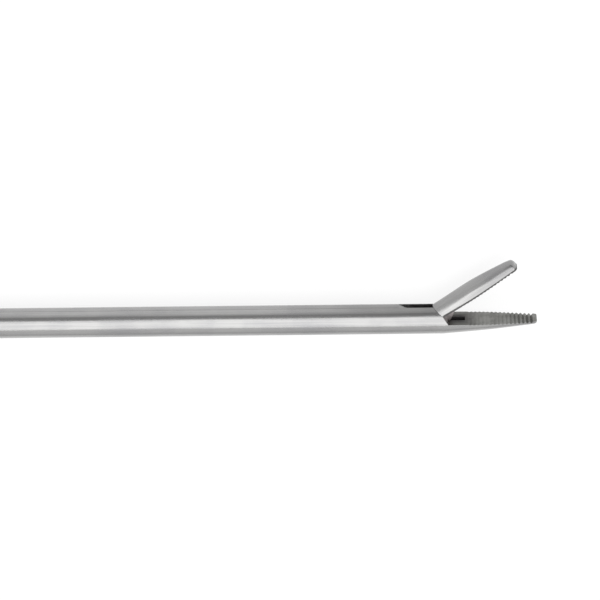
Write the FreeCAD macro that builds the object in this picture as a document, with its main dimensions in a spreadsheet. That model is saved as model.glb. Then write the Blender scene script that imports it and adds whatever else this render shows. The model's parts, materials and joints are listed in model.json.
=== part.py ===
import FreeCAD, Part
import os
import re
import Sketcher

# Alligator ear forceps, millimetres. It lies on its side as it would on a tray:
# +X runs from the handle screw to the jaws, +Y is the way the upper jaw opens and +Z is up.
# The origin is on the handle screw's axis, on the surface that the instrument rests on.
# The pieces are drawn about their common middle plane and lifted by half the joint block.

SIZES = {
    # joint block and the shaft that grows out of it
    "block_thick": 5.0,
    "block_tall": 9.4,
    "block_swell": 7.4,
    "block_rise": 0.9,
    "block_front": 4.6,
    "front_tall": 7.2,
    "front_swell": 5.6,
    "neck_reach": 12.0,
    "neck_dia": 4.4,
    "neck_lead": 2.0,
    "straight_from": 40.0,
    "shaft_dia": 3.0,
    "shaft_rise": 3.1,
    "shoulder_reach": 87.1,
    # jaws, measured from the foot of the shaft's shoulder
    "jaw_length": 8.88,
    "jaw_root": 0.5,
    "jaw_middle": 4.2,
    "jaw_middle_wide": 2.78,
    "jaw_tip_wide": 1.7,
    "lower_middle_deep": 1.04,
    "lower_tip_deep": 0.5,
    "upper_root_deep": 1.4,
    "upper_middle_deep": 1.27,
    "upper_tip_deep": 0.98,
    "nose_round": 0.24,
    "jaw_gap": 0.03,
    "heel_gap": 0.05,
    "heel_lean": 54.0,
    "open_angle": 34.2,
    # serrations of both jaws
    "tooth_pitch": 0.41,
    "tooth_depth": 0.15,
    "tooth_crest": 0.06,
    "teeth_from": 1.9,
    "nose_land": 0.35,
    # jaw hinge and its tang
    "hinge_back": 1.4,
    "hinge_drop": 0.4,
    "crank_reach": 1.05,
    "hinge_pin_dia": 0.7,
    "hinge_pin_play": 0.02,
    "tang_round": 0.7,
    "tang_reach": 2.9,
    "hinge_floor": 1.2,
    "hinge_slot_back": 1.2,
    "hinge_slot_front": 3.1,
    # slot along the shaft and the rod that slides in it
    "slot_wide": 0.8,
    "slot_floor": 0.3,
    "side_play": 0.02,
    "sole_gap": 0.1,
    "rod_rise": 0.5,
    "ramp_back": 3.2,
    "ramp_long": 1.3,
    "front_pin_dia": 0.5,
    "front_pin_play": 0.04,
    "front_eye_wall": 0.17,
    "lap_play": 0.02,
    "lap_end_gap": 0.15,
    "tang_step": 0.4,
    "rear_pin_dia": 1.0,
    "rear_pin_play": 0.03,
    "rear_eye_wall": 0.45,
    "fork_floor_gap": 0.22,
    # rivets that keep the rod in its slot
    "guide_pin_dia": 0.8,
    "guide_pin_play": 0.05,
    "rear_guide_reach": 15.0,
    "front_guide_reach": 38.0,
    # lever of the finger handle in the block's fork
    "lever_thick": 2.0,
    "lever_play": 0.05,
    "lever_round": 2.6,
    "lever_top_round": 1.35,
    "fork_gap": 0.35,
    "lever_wide": 4.0,
    "lever_reach": 12.0,
    "lever_emerge": 9.4,
    "lever_end_tall": 5.5,
    "lever_end_wide": 3.0,
    "screw_dia": 2.4,
    "screw_play": 0.04,
    "screw_floor": 0.7,
    "head_dia": 4.4,
    "head_tall": 0.7,
    "head_sink": 0.5,
    "head_slot_wide": 0.6,
    "head_slot_deep": 0.45,
    # handles and their rings
    "thumb_angle": 28.0,
    "finger_angle": 62.0,
    "thumb_reach": 58.0,
    "finger_reach": 57.0,
    "root_reach": 9.0,
    "root_tall": 6.3,
    "root_swell": 5.2,
    "shank_start": 17.0,
    "shank_start_tall": 4.5,
    "shank_start_wide": 4.2,
    "shank_bow": 1.2,
    "shank_tall": 4.3,
    "shank_wide": 4.0,
    "shank_end_tall": 5.0,
    "shank_end_wide": 4.5,
    "ring_long": 25.0,
    "ring_across": 20.0,
    "ring_wire": 4.2,
}

# places that follow from the sizes
PLACES = {
    "middle": "(block_thick / 2)",
    "hinge_reach": "(shoulder_reach - hinge_back)",
    "half_open": "(open_angle / 2)",
    "half_stroke": "(crank_reach * sin(open_angle / 2))",
    "lever_arm": "(shaft_rise + rod_rise)",
    "half_turn": "(asin(crank_reach * sin(open_angle / 2) / (shaft_rise + rod_rise)) / 1 deg)",
    "rod_thick": "(slot_wide - 2 * side_play)",
    "front_eye_rise": "(crank_reach * (1 + cos(open_angle / 2)) / 2 - hinge_drop)",
    "bend_reach": "((heel_reach - heel_gap) * cos(open_angle) - flat_rise * sin(open_angle))",
    "bend_rise": "((heel_reach - heel_gap) * sin(open_angle) + flat_rise * cos(open_angle) - hinge_drop)",
    "heel_reach": "(hinge_back * cos(open_angle) + hinge_drop * sin(open_angle) + heel_gap)",
    "tip_reach": "(hinge_back + jaw_length)",
    "flat_rise": "(hinge_drop + jaw_gap)",
    "rod_sole": "(sole_gap - slot_floor)",
    "fork_wide": "(lever_thick + 2 * lever_play)",
}

doc = FreeCAD.newDocument("ear_forceps")
sheet = doc.addObject("Spreadsheet::Sheet", "sizes")
for row, (name, number) in enumerate(SIZES.items(), 1):
    sheet.set(f"A{row}", name)
    sheet.set(f"B{row}", str(number))
    sheet.setAlias(f"B{row}", name)
doc.recompute()

V = FreeCAD.Vector
ABOUT_Z = V(0, 0, 1)
ALONG_X = V(1, 1, 1)    # a third of a turn about this carries Z to X, X to Y and Y to Z
UPPER_SEAM = 180    # degrees: under the flat, where it is cut away
LOFT_DEGREE = 2    # a higher one swings wide between uneven sections


def formula(text):
    # spells out the places, then points each size at its cell
    for word, meaning in PLACES.items():
        text = re.sub(rf"\b{word}\b", meaning, text)
    return re.sub(r"[a-z]+(_[a-z]+)+", lambda found: f"sizes.{found.group()}", text)


def value(text):
    result = sheet.evalExpression(formula(text))
    return float(getattr(result, "Value", result))


def bind(piece, **settings):
    for setting, text in settings.items():
        piece.setExpression(setting, formula(text))
    return piece


def put(piece, x="0", y="0", z="0", axis=ABOUT_Z, turn="0"):
    piece.Placement = FreeCAD.Placement(V(), FreeCAD.Rotation(axis, value(turn)))
    piece.setExpression("Placement.Base.x", formula(x))
    piece.setExpression("Placement.Base.y", formula(y))
    piece.setExpression("Placement.Base.z", formula(z))
    if turn != "0":
        piece.setExpression("Placement.Rotation.Angle", formula(turn))
    return piece


# a round bar along Z, centred on the middle plane
def cross_bar(name, dia, long, x="0", y="0", z="0"):
    bar = bind(doc.addObject("Part::Cylinder", name), Radius=f"({dia}) / 2", Height=long)
    return put(bar, x, y, f"{z} - ({long}) / 2")


# a round bar along X
def long_bar(name, dia, long, x, y):
    bar = bind(doc.addObject("Part::Cylinder", name), Radius=f"({dia}) / 2", Height=long)
    return put(bar, x, y, axis=ALONG_X, turn="120")


# a block from its low corner, centred across on the middle plane
def slab(name, x, y, long, tall, wide):
    block = bind(doc.addObject("Part::Box", name), Length=long, Width=tall, Height=wide)
    return put(block, x, y, f"-({wide}) / 2")


# a straight-sided outline in the XY plane, its corners bound to the sizes
def outline(name, corners):
    sketch = doc.addObject("Sketcher::SketchObject", name)
    spots = [V(value(x), value(y), 0) for x, y in corners]
    for here, there in zip(spots, spots[1:] + spots[:1]):
        sketch.addGeometry(Part.LineSegment(here, there), False)
    for side in range(len(spots)):
        sketch.addConstraint(Sketcher.Constraint("Coincident", side, 2, (side + 1) % len(spots), 1))
    for side, (x, y) in enumerate(corners):
        for way, text, start in (("DistanceX", x, spots[side].x), ("DistanceY", y, spots[side].y)):
            number = sketch.addConstraint(Sketcher.Constraint(way, -1, 1, side, 1, start))
            sketch.setExpression(f"Constraints[{number}]", formula(text))
    return sketch


def plate(name, corners, thick):
    solid = doc.addObject("Part::Extrusion", name)
    solid.Base = outline(f"{name}_outline", corners)
    solid.DirMode = "Normal"
    solid.Symmetric = True
    solid.Solid = True
    return bind(solid, LengthFwd=thick)


def cut(name, base, tool):
    result = doc.addObject("Part::Cut", name)
    result.Base = base
    result.Tool = tool
    return result


# takes one tool after another from a solid; the last cut has the piece's name
def cut_all(name, base, tools):
    for tool in tools[:-1]:
        base = cut(f"{name}_without_{tool.Label}", base, tool)
    return cut(name, base, tools[-1])


def common(name, base, tool):
    result = doc.addObject("Part::Common", name)
    result.Base = base
    result.Tool = tool
    return result


def fuse(name, pieces, refine=True):
    result = doc.addObject("Part::MultiFuse", name)
    result.Shapes = pieces
    result.Refine = refine
    return result


# an upright oval section, facing along the direction that is turned from +X; its seam is on
# top unless an angle is given
def oval(x, y, tall, wide, turn="0", seam=0):
    squeeze = FreeCAD.Matrix()
    squeeze.scale(value(tall) / 2, value(wide) / 2, 1)
    edge = Part.Circle(V(), ABOUT_Z, 1).toShape()
    edge.rotate(V(), ABOUT_Z, seam)
    edge = edge.transformGeometry(squeeze)
    edge.rotate(V(), ALONG_X, 120)
    edge.rotate(V(), ABOUT_Z, value(turn))
    edge.translate(V(value(x), value(y), 0))
    return Part.Wire([edge])


# a smooth solid through ovals, which a drawn ellipse can't give where it turns from tall to wide
def swelled(name, sections):
    solid = doc.addObject("Part::Feature", name)
    solid.Shape = Part.makeLoft(sections, True, False, False, LOFT_DEGREE)
    return solid


# rounds the rim of a blank's front end
def blunted(name, blank, radius):
    front = max(blank.Shape.Edges, key=lambda edge: edge.CenterOfMass.x)
    solid = doc.addObject("Part::Feature", name)
    solid.Shape = blank.Shape.makeFillet(value(radius), [front])
    return solid


# V grooves across a jaw's flat, at the flat's height, pointing up or down
def grooves(name, start, end, level, way):
    pitch = value("tooth_pitch")
    half = (pitch - value("tooth_crest")) / 2
    deep = value("tooth_depth")
    wide = value("shaft_dia") * 2
    lift = way * deep
    solids = []
    count = int((end - start) / pitch)
    for number in range(count):
        x = end - (number + 0.5) * pitch
        spots = [V(x - half, level, 0), V(x + half, level, 0), V(x, level + lift, 0)]
        side = [V(x - half, level - lift, 0), V(x + half, level - lift, 0)]
        corners = [side[0], spots[0], spots[2], spots[1], side[1], side[0]]
        face = Part.Face(Part.makePolygon(corners))
        face.translate(V(0, 0, -wide / 2))
        solids.append(face.extrude(V(0, 0, wide)))
    tool = doc.addObject("Part::Feature", name)
    tool.Shape = Part.makeCompound(solids)
    return tool


# an oval ring of one round wire, its long way along X, centred at the origin
def ring(name):
    path = doc.addObject("Part::Ellipse", f"{name}_path")
    bind(path, MajorRadius="(ring_long + ring_wire) / 2", MinorRadius="(ring_across + ring_wire) / 2")
    wire = doc.addObject("Part::Ellipse", f"{name}_wire")
    bind(wire, MajorRadius="block_thick / 2", MinorRadius="ring_wire / 2")
    wire.Placement = FreeCAD.Placement(V(), FreeCAD.Rotation(V(0, 0, 1), V(1, 0, 0), V(0, 1, 0), "XYZ"))
    wire.setExpression("Placement.Base.x", formula("(ring_long + ring_wire) / 2"))
    solid = doc.addObject("Part::Sweep", name)
    solid.Sections = [wire]
    solid.Spine = (path, ["Edge1"])
    solid.Solid = True
    solid.Frenet = True
    return solid


# an oval across a handle, at a reach and a bow from the handle's own centre line
def handle_oval(angle, reach, bow, tall, wide):
    x = f"-({reach}) * cos({angle}) - ({bow}) * sin({angle})"
    y = f"-({reach}) * sin({angle}) + ({bow}) * cos({angle})"
    return oval(x, y, tall, wide, angle)


# the ovals of a handle from the foot of its shank to its ring
def shank(angle, reach):
    end = f"{reach} - ring_long / 2 - ring_wire / 2"
    return [
        handle_oval(angle, "shank_start", "shank_bow / 2", "shank_start_tall", "shank_start_wide"),
        handle_oval(angle, f"(shank_start + {end}) / 2", "shank_bow", "shank_tall", "shank_wide"),
        handle_oval(angle, end, "0", "shank_end_tall", "shank_end_wide"),
    ]


# Shaft, lower jaw, joint block and thumb handle: one forging
jaw_foot = "shoulder_reach - jaw_root"
rear = long_bar("shaft_straight", "shaft_dia", f"{jaw_foot} - straight_from", "straight_from", "shaft_rise")
cone = bind(doc.addObject("Part::Cone", "shaft_taper"), Radius1="neck_dia / 2", Radius2="shaft_dia / 2")
bind(cone, Height="straight_from - neck_reach")
put(cone, "neck_reach", "shaft_rise", axis=ALONG_X, turn="120")
block = swelled("block_swelling", [
    oval("neck_reach", "shaft_rise", "neck_dia", "neck_dia"),
    oval("neck_reach - neck_lead", "shaft_rise", "neck_dia", "neck_dia"),
    oval("block_front", "(shaft_rise + block_rise) / 2", "front_tall", "front_swell"),
    oval("0", "block_rise", "block_tall", "block_swell", "thumb_angle / 2"),
    handle_oval("thumb_angle", "root_reach", "0", "root_tall", "root_swell"),
] + shank("thumb_angle", "thumb_reach"))
flats = slab("flats", "-2 * thumb_reach", "-2 * thumb_reach", "2 * thumb_reach + 2 * neck_reach",
             "4 * thumb_reach", "block_thick")
flat_block = common("block_with_flats", block, flats)
thumb_ring = put(ring("thumb_ring"), "-thumb_reach * cos(thumb_angle)", "-thumb_reach * sin(thumb_angle)",
                 turn="thumb_angle")
lower_blank = swelled("lower_jaw_blank", [
    oval(jaw_foot, "shaft_rise", "shaft_dia", "shaft_dia"),
    oval("shoulder_reach + jaw_middle", "shaft_rise", "2 * lower_middle_deep", "jaw_middle_wide"),
    oval("shoulder_reach + jaw_length", "shaft_rise", "2 * lower_tip_deep", "jaw_tip_wide"),
])
lower_nose = blunted("lower_jaw_nose", lower_blank, "nose_round")

# the shoulder leans back by the opening angle up to a bend, and further above it, where the open
# jaw's heel lies flat to it
above = "shaft_rise + shaft_dia"
shoulder = plate("shoulder_cut", [
    ("shoulder_reach", "shaft_rise"),
    ("shoulder_reach + 2 * jaw_length", "shaft_rise"),
    ("shoulder_reach + 2 * jaw_length", above),
    ("hinge_reach + bend_reach - (shaft_dia - bend_rise) * tan(heel_lean)", above),
    ("hinge_reach + bend_reach", "shaft_rise + bend_rise"),
], "2 * shaft_dia")
shaft_end = cut("shaft_end", rear, shoulder)
lower_half = cut("lower_jaw_half", lower_nose, shoulder)
forging = fuse("forging", [shaft_end, cone, flat_block, thumb_ring, lower_half], refine=False)

# slots: one for the rod, a deeper one for the tang, and the block's fork for the lever
rod_slot = slab("rod_slot", "0", "shaft_rise - slot_floor", "hinge_reach", "block_tall", "slot_wide")
hinge_slot = slab("hinge_slot", "hinge_reach - hinge_slot_back", "shaft_rise - hinge_floor",
                  "hinge_slot_back + hinge_slot_front", "2 * shaft_dia", "slot_wide")


# the room that the finger lever needs in the fork, at one end of its travel
def lever_room(name, way):
    arm = "lever_top_round + fork_gap"
    leg = "lever_wide / 2 + fork_gap"
    room = plate(name, [
        (f"-({arm})", "0"),
        (f"-({arm})", "block_tall"),
        (arm, "block_tall"),
        (arm, "0"),
    ], "fork_wide")
    put(room, turn=f"{way} * half_turn")
    down = plate(f"{name}_leg", [
        ("0", f"-({leg})"),
        ("0", leg),
        ("-lever_reach", leg),
        ("-lever_reach", f"-({leg})"),
    ], "fork_wide")
    put(down, turn=f"finger_angle + half_turn + {way} * half_turn")
    return [room, down]


hub_room = cross_bar("hub_room", "2 * (lever_round + fork_gap)", "fork_wide")
fork = fuse("fork", [hub_room] + lever_room("fork_open", 1) + lever_room("fork_closed", -1), refine=False)

# bores for the pins, and the screw's seat
hinge_bore = cross_bar("hinge_bore", "hinge_pin_dia", "2 * shaft_dia", "hinge_reach", "shaft_rise - hinge_drop")
guide_bores = [
    cross_bar(f"guide_bore_{end}", "guide_pin_dia", "2 * neck_dia", f"{end}_guide_reach", "shaft_rise + rod_rise")
    for end in ("rear", "front")
]
screw_bore = bind(doc.addObject("Part::Cylinder", "screw_bore"), Radius="screw_dia / 2",
                  Height="block_thick - screw_floor")
put(screw_bore, z="screw_floor - middle")
head_seat = bind(doc.addObject("Part::Cylinder", "head_seat"), Radius="head_dia / 2 + side_play", Height="head_sink")
put(head_seat, z="middle - head_sink")
flat_teeth = grooves(
    "lower_teeth_cut",
    value("shoulder_reach + teeth_from"),
    value("shoulder_reach + jaw_length - nose_land"),
    value("shaft_rise"),
    -1,
)
cuts = [rod_slot, hinge_slot, fork, hinge_bore, screw_bore, head_seat, flat_teeth] + guide_bores
fixed_body = cut_all("shaft_and_thumb_handle", forging, cuts)
put(fixed_body, z="middle")

# Upper jaw, drawn closed about its hinge and turned open
half_space = plate("upper_half", [
    ("heel_reach", "flat_rise"),
    ("2 * jaw_length", "flat_rise"),
    ("2 * jaw_length", "flat_rise + shaft_dia"),
    ("heel_reach - shaft_dia * tan(heel_lean - open_angle)", "flat_rise + shaft_dia"),
], "2 * shaft_dia")
upper_blank = swelled("upper_jaw_blank", [
    oval("0", "flat_rise", "2 * upper_root_deep", "shaft_dia", seam=UPPER_SEAM),
    oval("hinge_back + jaw_middle", "flat_rise", "2 * upper_middle_deep", "jaw_middle_wide", seam=UPPER_SEAM),
    oval("tip_reach", "flat_rise", "2 * upper_tip_deep", "jaw_tip_wide", seam=UPPER_SEAM),
])
upper_nose = blunted("upper_jaw_nose", upper_blank, "nose_round")
upper_half = common("upper_jaw_half", upper_nose, half_space)
tang = plate("tang", [
    ("-tang_round * cos(half_open)", "tang_round * sin(half_open)"),
    ("0", "-tang_round"),
    ("hinge_back", "-tang_round"),
    ("tang_reach", "flat_rise - tooth_depth"),
    ("tang_reach", "flat_rise + upper_root_deep / 2"),
    ("half_stroke", "crank_reach * cos(half_open)"),
], "rod_thick")
tang_eye = cross_bar("tang_eye", "2 * tang_round", "rod_thick")
pin_eye = cross_bar("pin_eye", "front_pin_dia + 2 * front_eye_wall", "rod_thick", "half_stroke",
                    "crank_reach * cos(half_open)")
lap_end = "half_stroke + front_pin_dia / 2 + front_pin_play + front_eye_wall + lap_end_gap"
lap_bite = plate("tang_lap", [
    ("-crank_reach", "tang_step"),
    (lap_end, "tang_step"),
    (lap_end, "2 * crank_reach"),
    ("-crank_reach", "2 * crank_reach"),
], "rod_thick")
put(lap_bite, z="rod_thick / 2 - lap_play / 2")
upper_solid = fuse("upper_jaw_solid", [upper_half, tang, tang_eye, pin_eye], refine=False)
upper_teeth = grooves(
    "upper_teeth_cut",
    value("hinge_back + teeth_from") + value("tooth_pitch") / 2,
    value("tip_reach - nose_land") - value("tooth_pitch") / 2,
    value("flat_rise"),
    1,
)
tang_bore = cross_bar("tang_bore", "hinge_pin_dia + 2 * hinge_pin_play", "2 * rod_thick")
pin_bore = cross_bar("pin_bore", "front_pin_dia", "2 * rod_thick", "half_stroke", "crank_reach * cos(half_open)")
upper_jaw = cut_all("upper_jaw", upper_solid, [lap_bite, upper_teeth, tang_bore, pin_bore])
put(upper_jaw, "hinge_reach", "shaft_rise - hinge_drop", "middle", turn="open_angle")

# Slide rod, drawn at mid-stroke about the handle's rear pin and pulled back half a stroke
rod_bar = slab("rod_bar", "lever_top_round", "rod_sole", "hinge_reach - ramp_back - lever_top_round",
               "neck_dia", "rod_thick")
round_rear = bind(doc.addObject("Part::Cone", "rod_round_rear"), Radius1="neck_dia / 2", Radius2="shaft_dia / 2")
bind(round_rear, Height="straight_from - neck_reach")
put(round_rear, "neck_reach", axis=ALONG_X, turn="120")
round_block = long_bar("rod_round_block", "neck_dia", "neck_reach", "0", "0")
round_front = long_bar("rod_round_front", "shaft_dia", "shoulder_reach - straight_from", "straight_from", "0")
round_top = fuse("rod_round", [round_block, round_rear, round_front], refine=False)
flush_bar = common("rod_flush", rod_bar, round_top)
front_low = "front_eye_rise - front_pin_dia / 2 - front_pin_play - front_eye_wall"
front_high = "front_eye_rise + front_pin_dia / 2 + front_pin_play + front_eye_wall"
rod_nose = plate("rod_nose", [
    ("hinge_reach - ramp_back", "rod_sole"),
    ("hinge_reach - crank_reach - tang_round", "rod_sole"),
    ("hinge_reach", front_low),
    ("hinge_reach", front_high),
    ("hinge_reach - ramp_back + ramp_long", front_high),
    ("hinge_reach - ramp_back", "sqrt(shaft_dia * shaft_dia - slot_wide * slot_wide) / 2"),
], "rod_thick")
rod_front_eye = cross_bar("rod_front_eye", "front_pin_dia + 2 * front_pin_play + 2 * front_eye_wall",
                          "rod_thick", "hinge_reach", "front_eye_rise")
rear_line = "(rod_rise + lever_arm * cos(half_turn)) / 2 + (rod_rise - lever_arm) / 2"
rod_rear_eye = cross_bar("rod_rear_eye", "rear_pin_dia + 2 * rear_pin_play + 2 * rear_eye_wall",
                         "rod_thick", "0", rear_line)
rod_tail = slab("rod_tail", "0", "rod_sole", "lever_top_round + neck_dia / 2",
                f"{rear_line} - (rod_sole) + rear_pin_dia / 2 + rear_pin_play + rear_eye_wall", "rod_thick")
rod_solid = fuse("rod_solid", [flush_bar, rod_nose, rod_front_eye, rod_rear_eye, rod_tail], refine=False)
rod_lap = plate("rod_lap", [
    ("hinge_reach - crank_reach - tang_round", "-shaft_dia"),
    ("hinge_reach + shaft_dia", "-shaft_dia"),
    ("hinge_reach + shaft_dia", "shaft_dia"),
    ("hinge_reach - crank_reach - tang_round", "shaft_dia"),
], "rod_thick")
put(rod_lap, z="-rod_thick / 2 + lap_play / 2")
front_hole = cross_bar("rod_front_hole", "front_pin_dia + 2 * front_pin_play", "2 * rod_thick", "hinge_reach",
                       "front_eye_rise")
rear_hole = cross_bar("rod_rear_hole", "rear_pin_dia + 2 * rear_pin_play", "2 * rod_thick", "0", rear_line)


# a long hole that lets the rod slide past a rivet
def guide_window(end):
    tall = "guide_pin_dia + 2 * guide_pin_play"
    travel = "half_stroke + guide_pin_play"
    reach = f"{end}_guide_reach"
    middle = slab(f"{end}_window_middle", f"{reach} - ({travel})", f"rod_rise - ({tall}) / 2",
                  f"2 * ({travel})", tall, "2 * rod_thick")
    back = cross_bar(f"{end}_window_back", tall, "2 * rod_thick", f"{reach} - ({travel})", "rod_rise")
    front = cross_bar(f"{end}_window_front", tall, "2 * rod_thick", f"{reach} + {travel}", "rod_rise")
    return fuse(f"{end}_window", [middle, back, front])


windows = [guide_window("rear"), guide_window("front")]
slide_rod = cut_all("slide_rod", rod_solid, [rod_lap, front_hole, rear_hole] + windows)
put(slide_rod, "-half_stroke", "shaft_rise", "middle")

# Finger handle with its lever, drawn at mid-travel about the screw and turned open
lever_hub = cross_bar("lever_hub", "2 * lever_round", "lever_thick")
lever_top = cross_bar("lever_top", "2 * lever_top_round", "lever_thick", "0", "lever_arm")
lever_arm_plate = slab("lever_arm_plate", "-lever_top_round", "0", "2 * lever_top_round", "lever_arm", "lever_thick")
lever_leg = slab("lever_leg", "-lever_reach", "-lever_wide / 2", "lever_reach", "lever_wide", "lever_thick")
finger_shank = swelled("finger_shank", [
    oval("-lever_emerge", "0", "lever_wide", "lever_thick - 2 * lever_play"),
    oval("-lever_reach", "0", "lever_end_tall", "lever_end_wide"),
] + shank("0", "finger_reach"))
finger_ring = put(ring("finger_ring"), "-finger_reach")
leg = fuse("finger_leg", [lever_leg, finger_shank, finger_ring], refine=False)
put(leg, turn="finger_angle + half_turn")
lever = fuse("finger_lever", [lever_hub, lever_top, lever_arm_plate, leg], refine=False)
rod_gap = slab("lever_fork_gap", "-2 * lever_top_round",
               "lever_arm - rear_pin_dia / 2 - rear_pin_play - rear_eye_wall - fork_floor_gap",
               "4 * lever_top_round", "lever_arm", "slot_wide")
lever_bore = cross_bar("lever_bore", "screw_dia + 2 * screw_play", "2 * lever_thick")
rear_bore = cross_bar("rear_pin_bore", "rear_pin_dia", "2 * lever_thick", "0", "lever_arm")
finger_handle = cut_all("finger_handle", lever, [rod_gap, lever_bore, rear_bore])
put(finger_handle, z="middle", turn="half_turn")

# Pins and screw
shaft_round = long_bar("shaft_round_for_pins", "shaft_dia", "shoulder_reach", "0", "shaft_rise")
neck_round = bind(doc.addObject("Part::Cone", "neck_round_for_pins"), Radius1="neck_dia / 2",
                  Radius2="shaft_dia / 2")
bind(neck_round, Height="straight_from - neck_reach")
put(neck_round, "neck_reach", "shaft_rise", axis=ALONG_X, turn="120")
rivet_round = fuse("rivet_round", [shaft_round, neck_round], refine=False)
hinge_blank = cross_bar("hinge_pin_blank", "hinge_pin_dia", "shaft_dia", "hinge_reach", "shaft_rise - hinge_drop")
jaw_pivot_pin = put(common("jaw_pivot_pin", hinge_blank, shaft_round), z="middle")
guide_rivets = []
for end in ("rear", "front"):
    blank = cross_bar(f"{end}_rivet_blank", "guide_pin_dia", "neck_dia", f"{end}_guide_reach",
                      "shaft_rise + rod_rise")
    guide_rivets.append(put(common(f"{end}_guide_rivet", blank, rivet_round), z="middle"))
rod_front_pin = cross_bar("rod_front_pin", "front_pin_dia", "rod_thick",
                          "hinge_reach - half_stroke", "shaft_rise - hinge_drop + crank_reach * cos(half_open)", "middle")
rod_rear_pin = cross_bar("rod_rear_pin", "rear_pin_dia", "lever_thick", "-half_stroke",
                         "lever_arm * cos(half_turn)", "middle")
screw_shank = bind(doc.addObject("Part::Cylinder", "screw_shank"), Radius="screw_dia / 2",
                   Height="block_thick - screw_floor - head_sink")
put(screw_shank, z="screw_floor")
screw_head = bind(doc.addObject("Part::Cylinder", "screw_head"), Radius="head_dia / 2", Height="head_tall")
put(screw_head, z="block_thick - head_sink")
screw_solid = fuse("screw_solid", [screw_shank, screw_head])
head_slot = slab("head_slot", "-head_dia", "-head_slot_wide / 2", "2 * head_dia", "head_slot_wide", "head_tall")
head_slot.setExpression("Placement.Base.z", formula("block_thick - head_sink + head_tall - head_slot_deep"))
handle_screw = cut("handle_screw", screw_solid, head_slot)

PIECES = [fixed_body, upper_jaw, slide_rod, finger_handle, jaw_pivot_pin, rod_front_pin, rod_rear_pin,
          handle_screw] + guide_rivets

doc.recompute()

for item in doc.Objects:
    if {"Invalid", "Error"} & set(item.State):
        raise RuntimeError(f"{item.Label} did not build: {item.State}")
os.makedirs("parts", exist_ok=True)
for piece in PIECES:
    if piece.Shape.isNull() or not piece.Shape.isValid() or len(piece.Shape.Solids) != 1:
        raise RuntimeError(f"{piece.Label} is not one sound solid: {len(piece.Shape.Solids)}")
for piece in PIECES:
    piece.Shape.exportStep(f"parts/{piece.Label}.step")
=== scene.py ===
import bpy
import bmesh
import json
import math
from mathutils import Matrix, Vector


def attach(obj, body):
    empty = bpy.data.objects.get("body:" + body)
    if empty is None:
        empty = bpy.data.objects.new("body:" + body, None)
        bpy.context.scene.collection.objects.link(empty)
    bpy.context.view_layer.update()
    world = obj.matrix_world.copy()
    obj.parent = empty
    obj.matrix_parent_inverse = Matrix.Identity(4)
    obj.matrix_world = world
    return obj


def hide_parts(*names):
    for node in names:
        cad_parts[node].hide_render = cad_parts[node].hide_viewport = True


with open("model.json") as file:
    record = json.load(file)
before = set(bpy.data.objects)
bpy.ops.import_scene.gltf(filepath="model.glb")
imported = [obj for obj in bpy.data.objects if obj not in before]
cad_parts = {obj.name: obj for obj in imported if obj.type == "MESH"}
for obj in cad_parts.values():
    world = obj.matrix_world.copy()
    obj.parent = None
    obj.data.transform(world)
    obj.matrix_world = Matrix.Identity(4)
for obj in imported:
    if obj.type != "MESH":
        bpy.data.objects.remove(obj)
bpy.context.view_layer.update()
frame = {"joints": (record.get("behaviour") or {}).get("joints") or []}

# Alligator ear forceps lying on their side. Lengths in the dictionaries are in millimetres and
# angles in degrees, and every finished mesh is brought to metres at the end.
milli = 0.001
across = Vector((0, 0, 1))
joints = {joint["name"]: joint for joint in frame["joints"]}
hinge = Vector(joints["jaw_hinge"]["pos_m"]) / milli
middle = hinge.z

around = 48    # vertices round a finished bar
pinAround = 32    # round a pin, a bore or an eye
hubAround = 64    # round the lever's hub and the screw
cageAround = 12    # round a handle's cage, before it is subdivided
finer = 2    # subdivisions of the cages
noseSteps = 5    # rings that round off a jaw's nose
sharpAbove = 32.0    # edges that turn by more than this stay crisp
tiny = 0.0005    # vertices closer than this are merged
through = 6.0    # a cut this wide goes right through any piece

# the jaws' opening at rest, the reach from the jaw's hinge to the rod's front pin,
# and the reach from the screw to the rod's rear pin
linkage = {"open": 34.2, "crank": 1.05, "arm": 3.6}
crank = linkage["crank"]
halfOpen = math.radians(linkage["open"] / 2)
halfStroke = crank * math.sin(halfOpen)
pinRise = crank * math.cos(halfOpen)
halfTurn = math.degrees(math.asin(halfStroke / linkage["arm"]))


# Materials
class Signal:
    def __init__(self, recipe, socket):
        self.recipe = recipe
        self.socket = socket

    def __add__(self, other):
        return self.recipe.reckon("ADD", self, other)

    def __sub__(self, other):
        return self.recipe.reckon("SUBTRACT", self, other)

    def __mul__(self, other):
        return self.recipe.reckon("MULTIPLY", self, other)

    def __rsub__(self, other):
        return self.recipe.reckon("SUBTRACT", other, self)

    __radd__ = __add__
    __rmul__ = __mul__


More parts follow.
